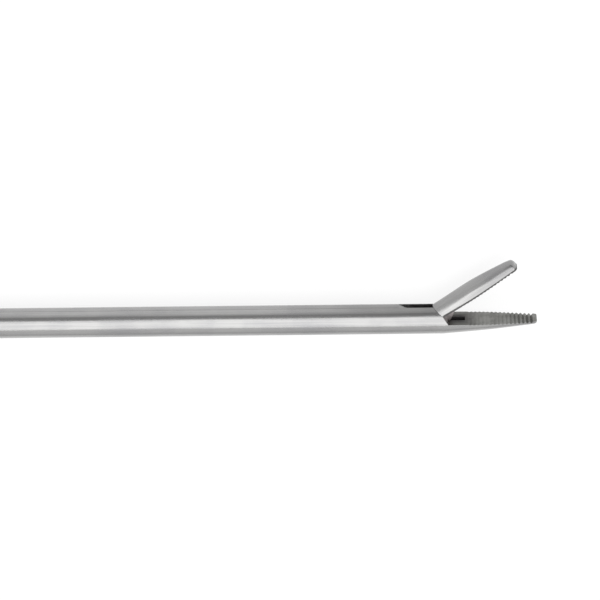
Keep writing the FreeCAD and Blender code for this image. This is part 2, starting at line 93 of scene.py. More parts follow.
class Recipe:
    def __init__(self, tree):
        self.tree = tree
        tree.nodes.clear()

    def node(self, kind, settings=None, sockets=None):
        made = self.tree.nodes.new(kind)
        for name, setting in (settings or {}).items():
            setattr(made, name, setting)
        for name, given in (sockets or {}).items():
            if isinstance(given, Signal):
                self.tree.links.new(given.socket, made.inputs[name])
            else:
                made.inputs[name].default_value = given
        return made

    def signal(self, made, output=0):
        return Signal(self, made.outputs[output])

    def reckon(self, operation, *given):
        return self.signal(self.node("ShaderNodeMath", {"operation": operation}, dict(enumerate(given))))

    def larger(self, first, second):
        return self.reckon("MAXIMUM", first, second)

    def coordinates(self, kind):
        return self.signal(self.node("ShaderNodeTexCoord"), kind)

    def axis(self, vector, letter):
        return self.signal(self.node("ShaderNodeSeparateXYZ", None, {"Vector": vector}), letter)

    def ramp(self, given, low, high, start=0.0, end=1.0):
        made = self.node("ShaderNodeMapRange", {"interpolation_type": "SMOOTHSTEP"}, {
            "Value": given, "From Min": low, "From Max": high, "To Min": start, "To Max": end})
        return self.signal(made)

    # a ramp between two places given in millimetres
    def rampBetween(self, given, places, end=1.0):
        return self.ramp(given, places[0] * milli, places[1] * milli, 0.0, end)

    def blend(self, share, first, second):
        made = self.node("ShaderNodeMix", {"data_type": "RGBA"}, {"Factor": share, "A": first, "B": second})
        return self.signal(made, "Result")

    def noise(self, place, stretch, detail, turn=0.0):
        placed = self.node("ShaderNodeMapping", None, {
            "Vector": place, "Rotation": (0, 0, math.radians(turn))})
        scaled = self.node("ShaderNodeMapping", None, {"Vector": self.signal(placed), "Scale": stretch})
        made = self.node("ShaderNodeTexNoise", None, {
            "Vector": self.signal(scaled), "Scale": 1.0, "Detail": detail, "Roughness": 0.6})
        return self.signal(made, "Fac")

    def bump(self, height, distance, under=None):
        sockets = {"Height": height, "Strength": 1.0, "Distance": distance * milli}
        if under:
            sockets["Normal"] = under
        return self.signal(self.node("ShaderNodeBump", None, sockets))

    def steel(self, tone, roughness, normal):
        surface = self.node("ShaderNodeBsdfPrincipled", None, {
            "Base Color": tone, "Metallic": 1.0, "Roughness": roughness, "Normal": normal})
        self.node("ShaderNodeOutputMaterial", None, {"Surface": self.signal(surface)})


def newMaterial(name):
    material = bpy.data.materials.new(name)
    material.use_nodes = True
    return material, Recipe(material.node_tree)


darkTone = (0.04, 0.037, 0.036, 1)    # the dark colour blended in: painted shade by the hinge and on the upper jaw, and the darker top of the shaft

# patterns are in cells to the metre
satin = {
    "pale": (0.41, 0.408, 0.404, 1), "deep": (0.338, 0.336, 0.341, 1), "roughness": (0.2, 0.31),
    "waves": (22.0, 420.0, 420.0), "waveHeight": 0.026,    # slow unevenness left by the polishing belt
    "lines": (90.0, 7000.0, 7000.0), "lineHeight": 0.0008,    # fine lines along the bar
    "clouds": (160.0, 160.0, 160.0),
    "toneLines": 0.4, "toneSpan": (0.38, 0.62),    # share of the lines beside the clouds, and the contrast
    "roughLines": 0.5, "roughSpan": (0.35, 0.65),
    "darkAlong": (68.0, 86.0), "darkUp": (4.0, 4.35),    # where the top of the shaft starts to darken, along X and Y
}


# polished steel whose lines run along the turn; between two places along X they can swing round to X
def satinSteel(name, turn, swing=None, topDarkening=0.0, shade=0.0):
    material, recipe = newMaterial(name)
    place = recipe.coordinates("Object")
    waves = recipe.noise(place, satin["waves"], detail=2.0, turn=turn)
    lines = recipe.noise(place, satin["lines"], detail=3.0, turn=turn)
    if swing:
        share = recipe.rampBetween(recipe.axis(place, "X"), swing)
        lines = lines + share * (recipe.noise(place, satin["lines"], detail=3.0) - lines)
        waves = waves + share * (recipe.noise(place, satin["waves"], detail=2.0) - waves)
    cloud = recipe.noise(place, satin["clouds"], detail=3.0)
    mottle = cloud * (1 - satin["toneLines"]) + lines * satin["toneLines"]
    tone = recipe.blend(recipe.ramp(mottle, *satin["toneSpan"]), satin["pale"], satin["deep"])
    # the top of the shaft darkens beside the slot, towards the shoulder
    if topDarkening:
        along = recipe.rampBetween(recipe.axis(place, "X"), satin["darkAlong"])
        up = recipe.rampBetween(recipe.axis(place, "Y"), satin["darkUp"])
        tone = recipe.blend(along * up * topDarkening, tone, darkTone)
    # painted shade over the whole piece, by the given share
    if shade:
        tone = recipe.blend(shade, tone, darkTone)
    uneven = lines * satin["roughLines"] + cloud * (1 - satin["roughLines"])
    roughness = recipe.ramp(uneven, *satin["roughSpan"], *satin["roughness"])
    broad = recipe.bump(waves, satin["waveHeight"])
    recipe.steel(tone, roughness, recipe.bump(lines, satin["lineHeight"], broad))
    return material


dull = {
    "clouds": (700.0, 700.0, 700.0), "cloudSpan": (0.35, 0.65),
    "grain": (9000.0, 9000.0, 9000.0), "grainHeight": 0.004,
    "raggedAlong": 3.0, "raggedAside": 0.9,    # how far the edge of the painted shade wanders
    "rimUnshaded": 0.8,
}

# painted shade darkens the teeth's steel in the corner by the hinge, where the upper jaw shades it, and
# lifts between the places given ahead along X and aside from the middle plane
dullSteels = {
    "toothSteel": {"pale": (0.25, 0.25, 0.237, 1), "deep": (0.155, 0.155, 0.144, 1), "roughness": 0.42,
                   "ahead": (88.1, 90.3), "aside": (0.55, 1.3)},
    # painted shade along the upper jaw's rim, above its flat
    "rimShadeSteel": {"pale": (0.1, 0.098, 0.098, 1), "deep": (0.07, 0.068, 0.068, 1), "roughness": 0.5},
    "tangSteel": {"pale": (0.34, 0.31, 0.305, 1), "deep": (0.2, 0.182, 0.18, 1), "roughness": 0.4},
    # painted shade in slots, bores and other cuts; its roughness is that of machined steel
    "recessShadeSteel": {"pale": (0.13, 0.125, 0.125, 1), "deep": (0.06, 0.058, 0.06, 1), "roughness": 0.5},
    "pinSteel": {"pale": (0.42, 0.41, 0.41, 1), "deep": (0.34, 0.335, 0.34, 1), "roughness": 0.24},
}


# unpolished steel
def dullSteel(name):
    values = dullSteels[name]
    material, recipe = newMaterial(name)
    place = recipe.coordinates("Object")
    cloud = recipe.noise(place, dull["clouds"], detail=4.0)
    grain = recipe.noise(place, dull["grain"], detail=2.0)
    tone = recipe.blend(recipe.ramp(cloud, *dull["cloudSpan"]), values["pale"], values["deep"])
    # painted shade in the corner by the hinge, where the upper jaw shades the flat
    if "ahead" in values:
        wander = cloud - 0.5    # the clouds lie round a half
        ahead = recipe.axis(place, "X") + wander * (dull["raggedAlong"] * milli)
        aside = recipe.reckon("ABSOLUTE", recipe.axis(place, "Z") - middle * milli)
        aside = aside + wander * (dull["raggedAside"] * milli)
        unshaded = recipe.larger(recipe.rampBetween(ahead, values["ahead"]),
                              recipe.rampBetween(aside, values["aside"], dull["rimUnshaded"]))
        tone = recipe.blend(unshaded, darkTone, tone)
    recipe.steel(tone, values["roughness"], recipe.bump(grain, dull["grainHeight"]))
    return material


toothSteel = dullSteel("toothSteel")
rimShadeSteel = dullSteel("rimShadeSteel")
tangSteel = dullSteel("tangSteel")
recessShadeSteel = dullSteel("recessShadeSteel")
pinSteel = dullSteel("pinSteel")
print("unpolished steels made")


# Shaping
def objectFrom(bm, name, material):
    bmesh.ops.remove_doubles(bm, verts=bm.verts, dist=tiny)
    bmesh.ops.recalc_face_normals(bm, faces=bm.faces)
    mesh = bpy.data.meshes.new(name)
    bm.to_mesh(mesh)
    bm.free()
    mesh.materials.append(material)
    piece = bpy.data.objects.new(name, mesh)
    bpy.context.scene.collection.objects.link(piece)
    return piece


# bakes a piece's modifiers into its mesh
def settle(piece):
    bpy.context.view_layer.update()
    graph = bpy.context.evaluated_depsgraph_get()
    made = bpy.data.meshes.new_from_object(piece.evaluated_get(graph))
    piece.modifiers.clear()
    piece.data = made
    return piece


def combine(piece, tool, operation="DIFFERENCE"):
    change = piece.modifiers.new("change", "BOOLEAN")
    change.operation = operation
    change.solver = "EXACT"
    change.material_mode = "TRANSFER"
    change.object = tool
    settle(piece)
    bpy.data.objects.remove(tool)
    return piece


def joinTools(tools):
    whole = tools[0]
    for tool in tools[1:]:
        combine(whole, tool, "UNION")
    return whole


def only(kind, items):
    return [item for item in items if isinstance(item, kind)]


def openEdges(bm):
    return [edge for edge in bm.edges if edge.is_boundary]


# an upright oval's place: its own X is across the bar, its own Y is +Z, and it faces along the turn
def ovalPlace(x, y, tall, wide, turn=0.0):
    facing = math.radians(turn)
    upward = Vector((-math.sin(facing), math.cos(facing), 0))
    forward = Vector((math.cos(facing), math.sin(facing), 0))
    place = Matrix((upward * tall / 2, across * wide / 2, forward)).transposed().to_4x4()
    place.translation = (x, y, middle)
    return place


def startRing(bm, place, segments):
    made = bmesh.ops.create_circle(bm, segments=segments, radius=1.0, matrix=place)
    return list({edge for vertex in made["verts"] for edge in vertex.link_edges})


# carries an open ring of edges through one place after another
def carryRing(bm, ring, places):
    for before, after in zip(places, places[1:]):
        made = bmesh.ops.extrude_edge_only(bm, edges=ring)["geom"]
        ring = only(bmesh.types.BMEdge, made)
        bmesh.ops.transform(bm, matrix=after @ before.inverted(), verts=only(bmesh.types.BMVert, made))
    return ring


def capRing(bm, ring):
    bmesh.ops.holes_fill(bm, edges=ring, sides=0)


# a skin through one place after another, capped at both ends
def drawSkin(bm, places, segments):
    ring = startRing(bm, places[0], segments)
    capRing(bm, ring)
    capRing(bm, carryRing(bm, ring, places))


# evenly spaced values on a smooth curve through uneven sections
def between(sections, spacing):
    steps = []
    for number in range(len(sections) - 1):
        here = sections[number]
        there = sections[number + 1]
        before = sections[max(number - 1, 0)]
        after = sections[min(number + 2, len(sections) - 1)]
        long = math.dist(here[:2], there[:2])
        back = math.dist(before[:2], here[:2]) or long
        ahead = math.dist(there[:2], after[:2]) or long
        count = max(1, round(long / spacing))
        for step in range(count):
            part = step / count
            ease = 2 * part ** 3 - 3 * part ** 2
            made = []
            for behind, near, far, beyond in zip(before, here, there, after):
                leave = (far - behind) * long / (long + back)
                reach = (beyond - near) * long / (long + ahead)
                made.append((1 + ease) * near - ease * far + (part ** 3 - 2 * part ** 2 + part) * leave
                            + (part ** 3 - part ** 2) * reach)
            steps.append(made)
    return steps + [list(sections[-1])]


# a prism with its outline in the XY plane, standing across z = 0
def addPrism(bm, corners, thick):
    face = bm.faces.new([bm.verts.new((x, y, -thick / 2)) for x, y in corners])
    made = bmesh.ops.extrude_face_region(bm, geom=[face])["geom"]
    bmesh.ops.translate(bm, vec=across * thick, verts=only(bmesh.types.BMVert, made))


# a plate across the middle plane, turned about the origin
def plate(name, corners, thick, material, turn=0.0, lift=0.0):
    bm = bmesh.new()
    addPrism(bm, corners, thick)
    place = Matrix.Translation((0, 0, middle + lift)) @ Matrix.Rotation(math.radians(turn), 4, "Z")
    bmesh.ops.transform(bm, matrix=place, verts=bm.verts)
    return objectFrom(bm, name, material)


def slab(name, x, y, long, tall, wide, material, turn=0.0, lift=0.0):
    corners = [(x, y), (x + long, y), (x + long, y + tall), (x, y + tall)]
    return plate(name, corners, wide, material, turn, lift)


# a round bar along Z
def bar(name, radius, long, x, y, material, lift=0.0, segments=pinAround, soften=0.0):
    bm = bmesh.new()
    place = Matrix.Translation((x, y, middle + lift))
    bmesh.ops.create_cone(bm, cap_ends=True, segments=segments, radius1=radius, radius2=radius, depth=long,
                          matrix=place)
    if soften:
        rims = [edge for edge in bm.edges if abs(edge.verts[0].co.z - edge.verts[1].co.z) < tiny]
        bmesh.ops.bevel(bm, geom=rims, offset=soften, offset_type="OFFSET", affect="EDGES", segments=2,
                        profile=0.5, material=-1)
    return objectFrom(bm, name, material)


# a round bar along X through (x, radius) sections, about the shaft's axis
def longBar(name, sections, material, segments=around):
    bm = bmesh.new()
    drawSkin(bm, [ovalPlace(x, shaft["rise"], 2 * radius, 2 * radius) for x, radius in sections], segments)
    return objectFrom(bm, name, material)


# smooth-shades a piece, brings it to metres and hands it to its body
def handOver(piece, body, node):
    piece.data.transform(Matrix.Scale(milli, 4))
    piece.data.shade_smooth()
    piece.data.set_sharp_from_angle(angle=math.radians(sharpAbove))
    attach(piece, body)
    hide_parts(node)
    print(node, "stands for", len(piece.data.polygons), "faces")


# Teeth of both jaws, worn shallow towards the hinge
teeth = {"pitch": 0.41, "deep": 0.2, "worn": 0.06, "crest": 0.06, "from": 1.9, "land": 0.35,
         "lowerShare": 1.0, "upperShare": 0.5}


# V grooves across a flat; a negative share points them down and a positive one up
def grooves(name, start, end, level, share):
    bm = bmesh.new()
    half = (teeth["pitch"] - teeth["crest"]) / 2
    for number in range(int((end - start) / teeth["pitch"])):
        x = end - (number + 0.5) * teeth["pitch"]
        part = (x - start) / (end - start)
        lift = share * (teeth["worn"] + (teeth["deep"] - teeth["worn"]) * part ** 2)
        addPrism(bm, [(x - half, level), (x, level + lift), (x + half, level), (x + half, level - lift),
                      (x - half, level - lift)], through)
    bmesh.ops.translate(bm, vec=across * middle, verts=bm.verts)
    return objectFrom(bm, name, toothSteel)


# rings that round off a jaw's nose
def noseSections(x, y, tall, wide, nose):
    made = []
    for step in range(noseSteps + 1):
        swing = math.radians(90 * step / noseSteps)
        less = 2 * nose * (1 - math.cos(swing))
        made.append((x - nose + nose * math.sin(swing), y, tall - less, wide - less, 0))
    return made


# Handles: a ring and a shank from one subdivided cage
handle = {
    "ringLong": 25.0, "ringAcross": 20.0, "wire": 4.2, "thick": 4.98,
    "ringSteps": 24, "clear": 1.7, "spacing": 2.0,
    "mouth": 0.45,    # share of the ring's thickness, from the middle each way, that opens to the shank
    "rootReach": 9.0, "shankStart": 17.0, "shankBow": 1.2,
    "start": (4.5, 4.2), "half": (4.3, 4.0), "end": (5.0, 4.5),
}


# how much a ring of so many cage vertices shrinks when it is subdivided
def shrinkage(segments):
    return (4 + 2 * math.cos(2 * math.pi / segments)) / 6


# a section across a handle, at a reach and a bow from the handle's own centre line
def handleSection(angle, reach, bow, tall, wide):
    turn = math.radians(angle)
    x = -reach * math.cos(turn) - bow * math.sin(turn)
    y = -reach * math.sin(turn) + bow * math.cos(turn)
    return (x, y, tall, wide, angle)


def shankSections(angle, reach):
    end = reach - handle["ringLong"] / 2 - handle["wire"] / 2
    begin = handle["shankStart"]
    return [
        handleSection(angle, end, 0, *handle["end"]),
        handleSection(angle, (begin + end) / 2, handle["shankBow"], *handle["half"]),
        handleSection(angle, begin, handle["shankBow"] / 2, *handle["start"]),
    ]


# the ring's cage, open towards the shank; returns the open edge
def ringCage(bm, angle, reach):
    steps = handle["ringSteps"]
    long = (handle["ringLong"] + handle["wire"]) / 2 / shrinkage(steps)
    wide = (handle["ringAcross"] + handle["wire"]) / 2 / shrinkage(steps)
    wire = handle["wire"] / shrinkage(cageAround)
    thick = handle["thick"] / shrinkage(cageAround)
    places = []
    for step in range(steps + 1):
        swing = 2 * math.pi * step / steps
        facing = math.degrees(math.atan2(wide * math.cos(swing), -long * math.sin(swing)))
        places.append(ovalPlace(long * math.cos(swing), wide * math.sin(swing), -wire, thick, facing))
    carryRing(bm, startRing(bm, places[0], cageAround), places)
    bmesh.ops.remove_doubles(bm, verts=bm.verts, dist=tiny)
    mouth = [face for face in bm.faces
             if face.calc_center_median().x > long
             and abs(face.calc_center_median().y) < wide * math.sin(2 * math.pi / steps)
             and abs(face.calc_center_median().z - middle) < thick * handle["mouth"]]
    bmesh.ops.delete(bm, geom=mouth, context="FACES")
    turned = Matrix.Rotation(math.radians(angle), 4, "Z") @ Matrix.Translation((-reach, 0, 0))
    bmesh.ops.transform(bm, matrix=turned, verts=bm.verts)
    return openEdges(bm)


def cagePlace(x, y, tall, wide, turn):
    return ovalPlace(x, y, tall / shrinkage(cageAround), wide / shrinkage(cageAround), turn)


# a ring with its shank, carried on through the sections; returns the far end, still open
def handleCage(bm, angle, reach, sections):
    mouth = ringCage(bm, angle, reach)
    outer = reach - handle["ringLong"] / 2 - handle["wire"] - handle["clear"]
    steps = between(shankSections(angle, reach) + sections, handle["spacing"])
    steps = [step for step in steps if math.hypot(step[0], step[1]) < outer or step[0] > 0]
    places = [cagePlace(*step) for step in steps]
    ring = startRing(bm, places[0], cageAround)
    bmesh.ops.bridge_loops(bm, edges=mouth + ring)
    return carryRing(bm, ring, places)


def subdivided(piece):
    smooth = piece.modifiers.new("smooth", "SUBSURF")
    smooth.levels = finer
    smooth.render_levels = finer
    return settle(piece)


# Shaft, lower jaw, joint block and thumb handle, all one forging
shaft = {
    "rise": 3.1, "radius": 1.5, "shoulder": 87.1, "straightFrom": 40.0, "neck": 12.0, "neckRadius": 2.2,
    "tapers": 7, "straights": 9,    # stretches that the taper and the straight part are drawn in
}
lowerJaw = {
    "long": 8.88, "root": 0.5, "middle": 4.2, "middleWide": 2.78, "middleDeep": 1.04,
    "tipWide": 1.7, "tipDeep": 0.5, "nose": 0.24, "spacing": 0.4,
    "groundUpTo": 0.02,    # further above the flat than this, the shoulder is polished like the shaft
}
block = {
    "thick": 5.0, "tall": 9.4, "swell": 7.4, "rise": 0.9, "front": 4.6, "frontTall": 7.2, "frontSwell": 5.6,
    "neckLead": 2.0, "rootTall": 6.3, "rootSwell": 5.2, "flatReach": 19.0, "edge": 0.16,
    "thumbAngle": 28.0, "thumbReach": 58.0,
    "beltSwing": (-16.0, 4.0),    # the polishing lines turn here from the handle's way to the shaft's
    "topDarkening": 0.4,    # how dark the top of the shaft gets beside the slot, towards the shoulder
}
jawSlots = {"wide": 0.8, "floor": 0.3, "hingeFloor": 1.2, "hingeBack": 1.2, "hingeFront": 3.1}
pivots = {"hingePin": 0.35, "guidePin": 0.4, "seam": 0.006, "rearGuide": 15.0, "frontGuide": 38.0,
          "rodRise": 0.5}
guideRise = shaft["rise"] + pivots["rodRise"]
barSteel = satinSteel("barSteel", -block["thumbAngle"], block["beltSwing"], block["topDarkening"])


def thumbHandleAndBlock():
    angle = block["thumbAngle"]
    wide = 2 * shaft["neckRadius"]
    bm = bmesh.new()
    handleCage(bm, angle, block["thumbReach"], [
        handleSection(angle, handle["rootReach"], 0, block["rootTall"], block["rootSwell"]),
        (0, block["rise"], block["tall"], block["swell"], angle / 2),
        (block["front"], (shaft["rise"] + block["rise"]) / 2, block["frontTall"], block["frontSwell"], 0),
        (shaft["neck"] - block["neckLead"], shaft["rise"], wide, wide, 0),
        (shaft["neck"], shaft["rise"], wide, wide, 0),
    ])
    return subdivided(objectFrom(bm, "shaftAndThumbHandle", barSteel))


# the shaft from its neck to the shoulder, and the lower jaw as a round bar up to its nose
def shaftSections():
    rise = shaft["rise"]
    neck = shaft["neck"]
    straight = shaft["straightFrom"]
    shoulder = shaft["shoulder"]
    foot = shoulder - lowerJaw["root"]
    tip = shoulder + lowerJaw["long"]
    tipTall = 2 * lowerJaw["tipDeep"]
    wide = 2 * shaft["neckRadius"]
    thin = 2 * shaft["radius"]
    sections = [(neck, rise, wide, wide, 0)]
    for step in range(1, shaft["tapers"] + 1):
        part = step / shaft["tapers"]
        size = wide + (thin - wide) * part
        sections.append((neck + (straight - neck) * part, rise, size, size, 0))
    for step in range(1, shaft["straights"] + 1):
        sections.append((straight + (foot - straight) * step / shaft["straights"], rise, thin, thin, 0))
    jaw = between([
        (foot, rise, thin, thin, 0),
        (shoulder + lowerJaw["middle"], rise, 2 * lowerJaw["middleDeep"], lowerJaw["middleWide"], 0),
        (tip, rise, tipTall, lowerJaw["tipWide"], 0),
    ], lowerJaw["spacing"])
    return sections + jaw[1:-1] + noseSections(tip, rise, tipTall, lowerJaw["tipWide"], lowerJaw["nose"])


# the block's two flats, with softened edges
def cutFlats(bm):
    for way in (-1, 1):
        near = [face for face in bm.faces if face.calc_center_median().x > -block["flatReach"]]
        parts = set(near) | {edge for face in near for edge in face.edges}
        parts |= {vertex for face in near for vertex in face.verts}
        level = middle + way * block["thick"] / 2
        made = bmesh.ops.bisect_plane(bm, geom=list(parts), plane_co=(0, 0, level), plane_no=(0, 0, way),
                                      clear_outer=True)
        ledge = only(bmesh.types.BMEdge, made["geom_cut"])
        capRing(bm, ledge)
        bmesh.ops.bevel(bm, geom=ledge, offset=block["edge"], offset_type="OFFSET", affect="EDGES",
                        segments=3, profile=0.5, material=-1)


# the block's open end goes on as the shaft and the lower jaw
def buildForging():
    start = thumbHandleAndBlock()
    bm = bmesh.new()
    bm.from_mesh(start.data)
    bpy.data.objects.remove(start)
    capRing(bm, carryRing(bm, openEdges(bm), [ovalPlace(*section) for section in shaftSections()]))
    cutFlats(bm)
    return objectFrom(bm, "shaftAndThumbHandle", barSteel)


# the lower jaw's flat, and the shoulder that leans back above it
def cutShoulder(piece):
    rise = shaft["rise"]
    above = rise + 2 * shaft["radius"]
    beyond = shaft["shoulder"] + 2 * lowerJaw["long"]
    bend = openTurn @ Vector((heelReach - upper["heelGap"], flatRise, 0)) + Vector((hinge.x, hinge.y, 0))
    lean = (above - bend.y) * math.tan(math.radians(upper["heelLean"]))
    combine(piece, plate("shoulderCut", [
        (shaft["shoulder"], rise), (beyond, rise), (beyond, above), (bend.x - lean, above),
        (bend.x, bend.y)], through, toothSteel))
    for face in piece.data.polygons:
        if (piece.data.materials[face.material_index] == toothSteel
                and face.center.y > rise + lowerJaw["groundUpTo"]):
            face.material_index = 0


# the rod's slot along the top, and the deeper one for the jaw's tang
def cutSlots(piece):
    rise = shaft["rise"]
    wide = jawSlots["wide"]
    start = hinge.x - jawSlots["hingeBack"]
    long = jawSlots["hingeBack"] + jawSlots["hingeFront"]
    combine(piece, joinTools([
        slab("rodRoom", 0, rise - jawSlots["floor"], hinge.x, block["tall"], wide, recessShadeSteel),
        slab("hingeRoom", start, rise - jawSlots["hingeFloor"], long, block["tall"], wide, recessShadeSteel),
    ]))


# the block's fork, where the lever turns
def cutFork(piece):
    wide = lever["thick"] + 2 * lever["play"]
    tools = [bar("hubRoom", lever["hub"] + lever["gap"], wide, 0, 0, recessShadeSteel, segments=around)]
    arm = lever["top"] + lever["gap"]
    leg = lever["wide"] / 2 + lever["gap"]
    for way in (1, -1):
        tools.append(slab("armRoom", -arm, 0, 2 * arm, block["tall"], wide, recessShadeSteel, way * halfTurn))
        tools.append(slab("legRoom", -lever["reach"], -leg, lever["reach"], 2 * leg, wide, recessShadeSteel,
                          lever["angle"] + halfTurn + way * halfTurn))
    combine(piece, joinTools(tools))


def cutBores(piece):
    seam = pivots["seam"]
    combine(piece, bar("hingeBore", pivots["hingePin"] + seam, through, hinge.x, hinge.y, recessShadeSteel))
    for x in (pivots["rearGuide"], pivots["frontGuide"]):
        combine(piece, bar("guideBore", pivots["guidePin"] + seam, through, x, guideRise, recessShadeSteel))
    combine(piece, joinTools([
        bar("screwRoom", screw["radius"] + seam, block["thick"], 0, 0, recessShadeSteel, lift=screw["floor"]),
        bar("headRoom", screw["head"] + screw["play"], 2 * screw["sink"], 0, 0, recessShadeSteel,
            lift=block["thick"] / 2, segments=around),
    ]))


def carveForging(piece):
    cutShoulder(piece)
    cutSlots(piece)
    cutFork(piece)
    combine(piece, grooves("lowerTeeth", shaft["shoulder"] + teeth["from"],
                           shaft["shoulder"] + lowerJaw["long"] - teeth["land"], shaft["rise"],
                           -teeth["lowerShare"]))
    cutBores(piece)
    return piece


# Upper jaw, modelled closed about its hinge and turned open
upper = {
    "long": 8.88, "middleDeep": 1.27, "tipDeep": 0.98, "nose": 0.42, "noseLead": 0.1, "gap": 0.03,
    "rim": 0.18, "faceDown": -0.5,    # faces that look down further than this are the flat, not the rim
    "paintFrom": 0.01,    # ahead of the heel, whose own face stays polished
    "heelGap": 0.03, "heelLean": 54.0,
    "tangRound": 0.7, "tangReach": 2.9, "lugRise": 0.7, "lugDrop": 0.15, "plate": 0.76,
    "lapPlay": 0.02, "lapEnd": 0.15, "step": 0.35, "eyeWall": 0.17, "hingePlay": 0.02,
    "pin": 0.25, "pinPlay": 0.04, "pinHalf": 0.38, "pinEdge": 0.03,
    "shade": 0.17,    # painted shade: the jaw is a little darker than the shaft
}
openTurn = Matrix.Rotation(2 * halfOpen, 3, "Z")
hingeBack = shaft["shoulder"] - hinge.x
hingeDrop = shaft["rise"] - hinge.y
flatRise = hingeDrop + upper["gap"]
heelReach = hingeBack * math.cos(2 * halfOpen) + hingeDrop * math.sin(2 * halfOpen) + upper["heelGap"]
eyeRound = upper["pin"] + upper["pinPlay"] + upper["eyeWall"]
jawSteel = satinSteel("jawSteel", -linkage["open"], shade=upper["shade"])


# at its heel the jaw has the very section that the leaning shoulder gives the round shaft
def upperJawSections():
    thick = 2 * shaft["radius"]
    lean = math.radians(upper["heelLean"])
    stretch = math.cos(lean - 2 * halfOpen) / math.cos(lean)
    bendRise = (openTurn @ Vector((heelReach - upper["heelGap"], flatRise, 0))).y - hingeDrop
    heel = (flatRise - bendRise * stretch, thick * stretch, thick, 0)
    tip = hingeBack + upper["long"]
    tipTall = 2 * upper["tipDeep"]
    sections = between([
        (0, *heel),
        (heelReach, *heel),
        (hingeBack + lowerJaw["middle"], flatRise, 2 * upper["middleDeep"], lowerJaw["middleWide"], 0),
        (tip, flatRise, tipTall, lowerJaw["tipWide"], 0),
    ], lowerJaw["spacing"])
    sections = [section for section in sections if section[0] < tip - upper["nose"] - upper["noseLead"]]
    return sections + noseSections(tip, flatRise, tipTall, lowerJaw["tipWide"], upper["nose"])


# the half above the flat, with a leaning heel and an edge along the top of its rim
def jawAboveFlat():
    bm = bmesh.new()
    drawSkin(bm, [ovalPlace(*section) for section in upperJawSections()], around)
    bmesh.ops.bisect_plane(bm, geom=bm.verts[:] + bm.edges[:] + bm.faces[:],
                           plane_co=(0, flatRise + upper["rim"], 0), plane_no=(0, 1, 0))
    piece = objectFrom(bm, "upperJaw", jawSteel)
    tall = 2 * shaft["radius"]
    heelTop = heelReach - tall * math.tan(math.radians(upper["heelLean"]) - 2 * halfOpen)
    beyond = 2 * upper["long"]
    return combine(piece, plate("keepAbove", [
        (heelReach, flatRise), (beyond, flatRise), (beyond, flatRise + tall), (heelTop, flatRise + tall)],
        through, jawSteel), "INTERSECT")


# the flat is ground like the teeth, and the rim round it gets painted shade
def paintFlatAndRim(piece):
    piece.data.materials.append(toothSteel)
    piece.data.materials.append(rimShadeSteel)
    ground = piece.data.materials.find("toothSteel")
    dark = piece.data.materials.find("rimShadeSteel")
    for face in piece.data.polygons:
        if face.center.y < flatRise + upper["rim"] and face.center.x > heelReach + upper["paintFrom"]:
            face.material_index = ground if face.normal.y < upper["faceDown"] else dark


# the plate that goes down into the slot, with two eyes: the hinge's, and the rod pin's, which is
# thinned to half above the step, where it laps beside the rod
def buildTang():
    curve = upper["tangRound"]
    thick = upper["plate"]
    reach = upper["tangReach"]
    tang = plate("tang", [
        (-curve * math.cos(halfOpen), curve * math.sin(halfOpen)), (0, -curve), (hingeBack, -curve),
        (reach, flatRise - upper["lugDrop"]), (reach, flatRise + upper["lugRise"]), (halfStroke, pinRise)],
        thick, tangSteel)
    eye = upper["pin"] + upper["eyeWall"]
    combine(tang, bar("tangEye", curve, thick, 0, 0, tangSteel), "UNION")
    combine(tang, bar("pinEye", eye, thick, halfStroke, pinRise, tangSteel), "UNION")
    lapLong = crank + halfStroke + eyeRound + upper["lapEnd"]
    lapTall = 2 * crank - upper["step"]
    return combine(tang, slab("tangLap", -crank, upper["step"], lapLong, lapTall, thick, recessShadeSteel,
                              lift=(thick - upper["lapPlay"]) / 2))


def buildUpperJaw():
    piece = jawAboveFlat()
    paintFlatAndRim(piece)
    halfPitch = teeth["pitch"] / 2    # the upper teeth stand over the gaps of the lower ones
    combine(piece, grooves("upperTeeth", hingeBack + teeth["from"] + halfPitch,
                           hingeBack + upper["long"] - teeth["land"] - halfPitch, flatRise,
                           teeth["upperShare"]))
    combine(piece, buildTang(), "UNION")
    pinBore = upper["pin"] + pivots["seam"] / 2
    combine(piece, bar("tangBore", pivots["hingePin"] + upper["hingePlay"], through, 0, 0, recessShadeSteel))
    combine(piece, bar("pinBore", pinBore, through, halfStroke, pinRise, recessShadeSteel))
    piece.data.transform(Matrix.Translation((hinge.x, hinge.y, 0)) @ openTurn.to_4x4())
    return piece


# Slide rod, flush with the round of the shaft
rod = {"sideways": 0.76, "soleGap": 0.1, "rampBack": 3.2, "rampLong": 1.3, "rearEye": 0.98,
       "rearHole": 0.53, "windowPlay": 0.05}


# a long hole that lets the rod slide past a guide rivet
def cutWindow(piece, x):
    half = pivots["guidePin"] + rod["windowPlay"]
    travel = halfStroke + rod["windowPlay"]
    combine(piece, joinTools([
        slab("window", x - travel, guideRise - half, 2 * travel, 2 * half, through, recessShadeSteel),
        bar("windowBack", half, through, x - travel, guideRise, recessShadeSteel),
        bar("windowFront", half, through, x + travel, guideRise, recessShadeSteel),
    ]))


